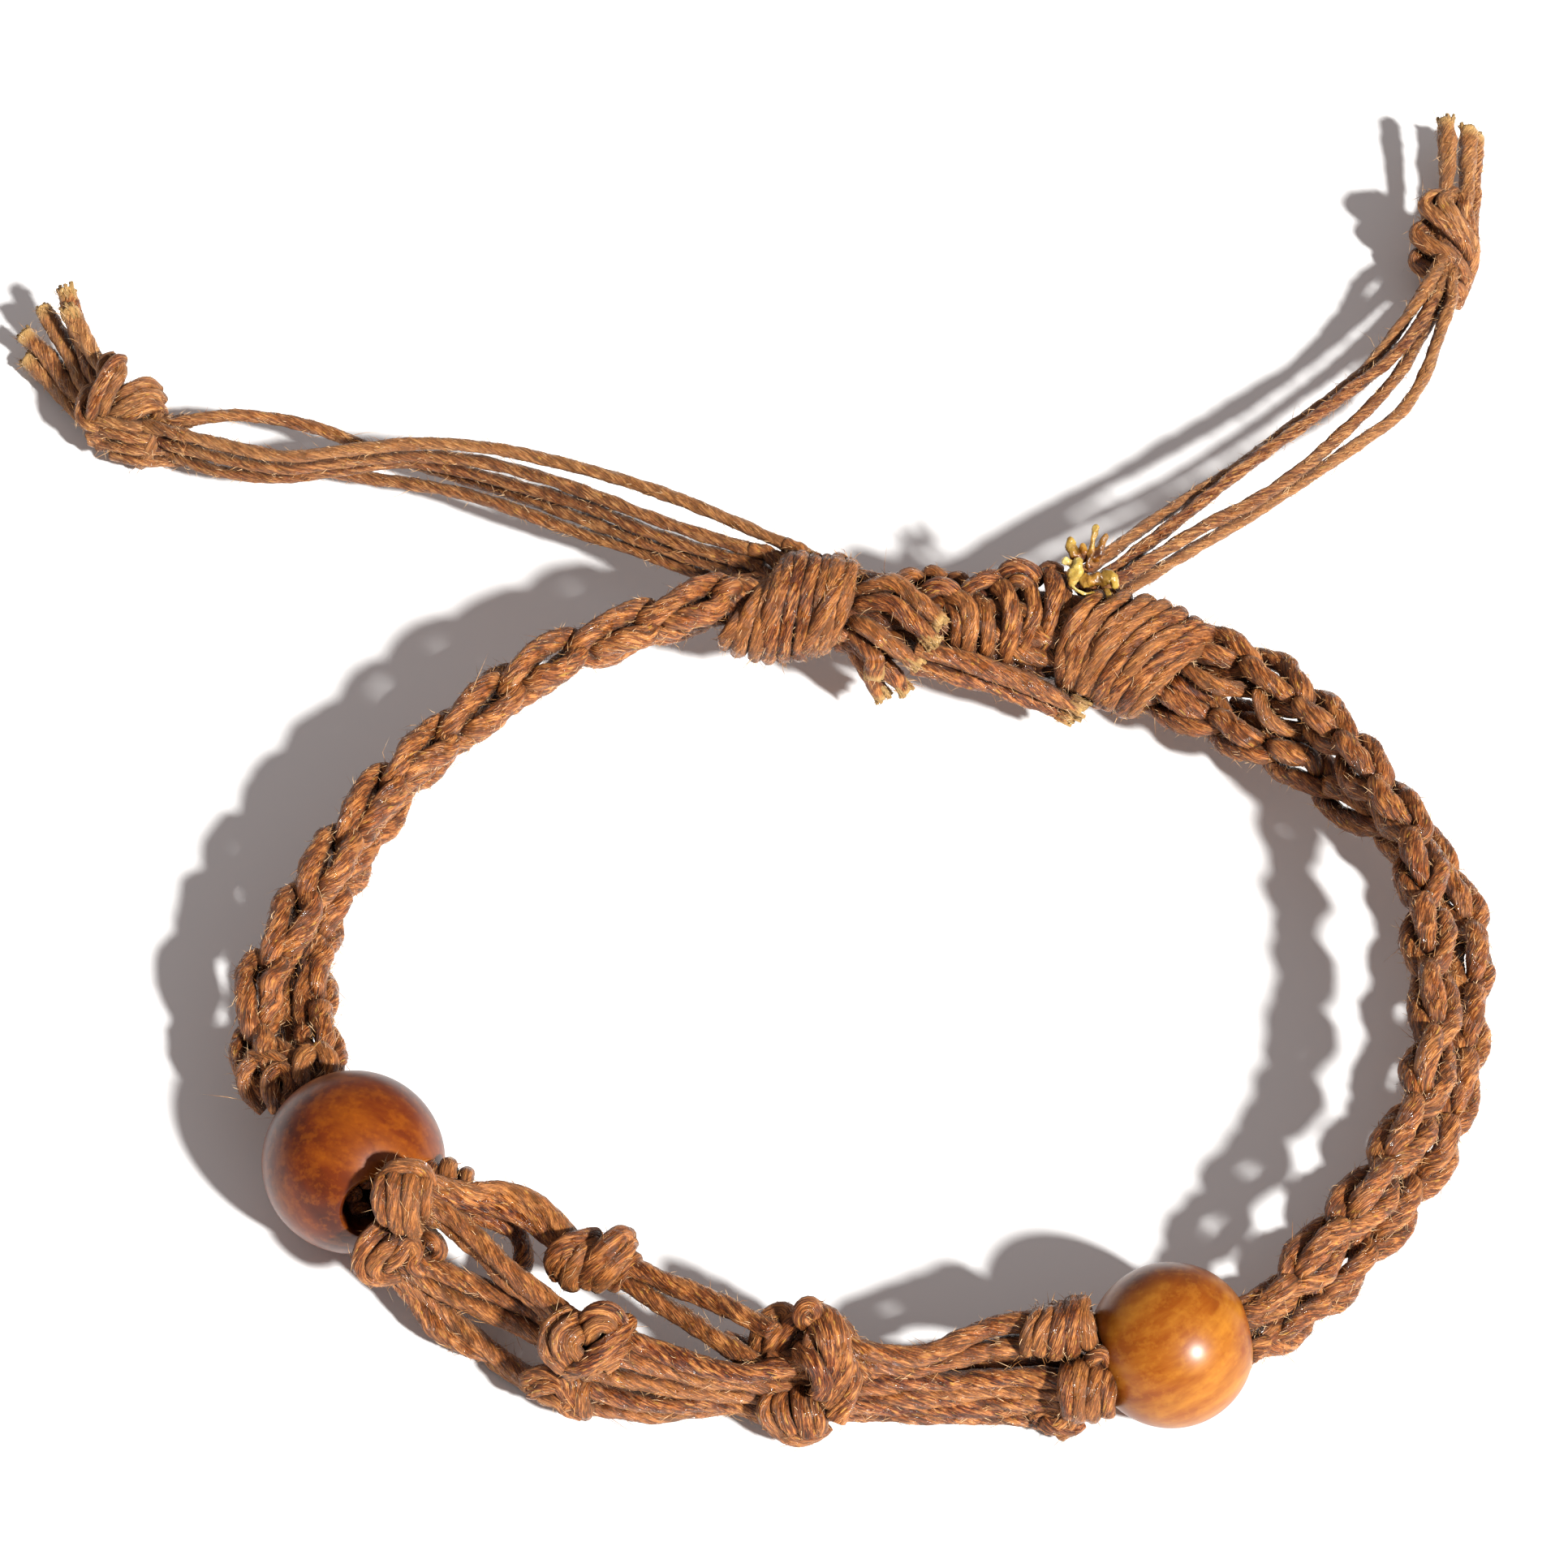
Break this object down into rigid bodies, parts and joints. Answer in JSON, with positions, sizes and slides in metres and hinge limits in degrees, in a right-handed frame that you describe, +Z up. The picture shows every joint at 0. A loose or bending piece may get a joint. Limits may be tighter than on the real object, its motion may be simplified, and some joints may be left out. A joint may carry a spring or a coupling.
{
  "type": "cord bracelet",
  "caption": "Crocheted wrist band of waxed cord with round wooden beads, a knotted net between them, and a sliding wrapped closure with loose knotted tails.",
  "frame": {"origin": "centre of the ring without its loose tails, on the surface that it lies on", "axes": "+Z up from the surface, the beads and the net lie towards -Y, the closure towards +Y, +X to the right seen from the bead side"},
  "size_m": [0.1049, 0.1122, 0.0127],
  "materials": {
    "waxed_cord": "waxed twisted cord, soft sheen",
    "tail_cord": "waxed twisted cord, loose strands",
    "bead_wood": "turned and varnished to a high gloss",
    "melted_tip": "cord ends fused to amber drops"
  },
  "bodies": {
    "root": {"bead_left": "bead_wood", "bead_right": "bead_wood", "strands_in_left_bead": "waxed_cord", "strands_in_right_bead": "waxed_cord", "chain_left_upper": "waxed_cord", "chain_left_lower": "waxed_cord", "chain_right_upper": "waxed_cord", "chain_right_lower": "waxed_cord", "wrap_left": "waxed_cord", "knotted_sleeve": "waxed_cord", "wrap_right": "waxed_cord", "net_knot_1": "waxed_cord", "net_knot_2": "waxed_cord", "net_knot_3": "waxed_cord", "net_knot_4": "waxed_cord", "net_knot_5": "waxed_cord", "net_knot_6": "waxed_cord", "net_knot_7": "waxed_cord", "net_knot_8": "waxed_cord", "net_knot_9": "waxed_cord", "net_knot_10": "waxed_cord", "net_knot_11": "waxed_cord", "net_strands_left": "waxed_cord", "net_strands_middle": "waxed_cord", "net_strands_right": "waxed_cord", "cut_ends_left": "waxed_cord", "cut_ends_front": "waxed_cord", "melted_ends": "melted_tip", "tail_left_1": "tail_cord", "tail_left_2": "tail_cord", "tail_left_3": "tail_cord", "tail_left_4": "tail_cord", "tail_left_5": "tail_cord", "tail_right_1": "tail_cord", "tail_right_2": "tail_cord", "tail_right_3": "tail_cord", "tail_right_4": "tail_cord", "tail_knot_left": "tail_cord", "tail_knot_right": "tail_cord", "frayed_ends_left": "tail_cord", "frayed_ends_right": "tail_cord"}
  },
  "joints": []
}
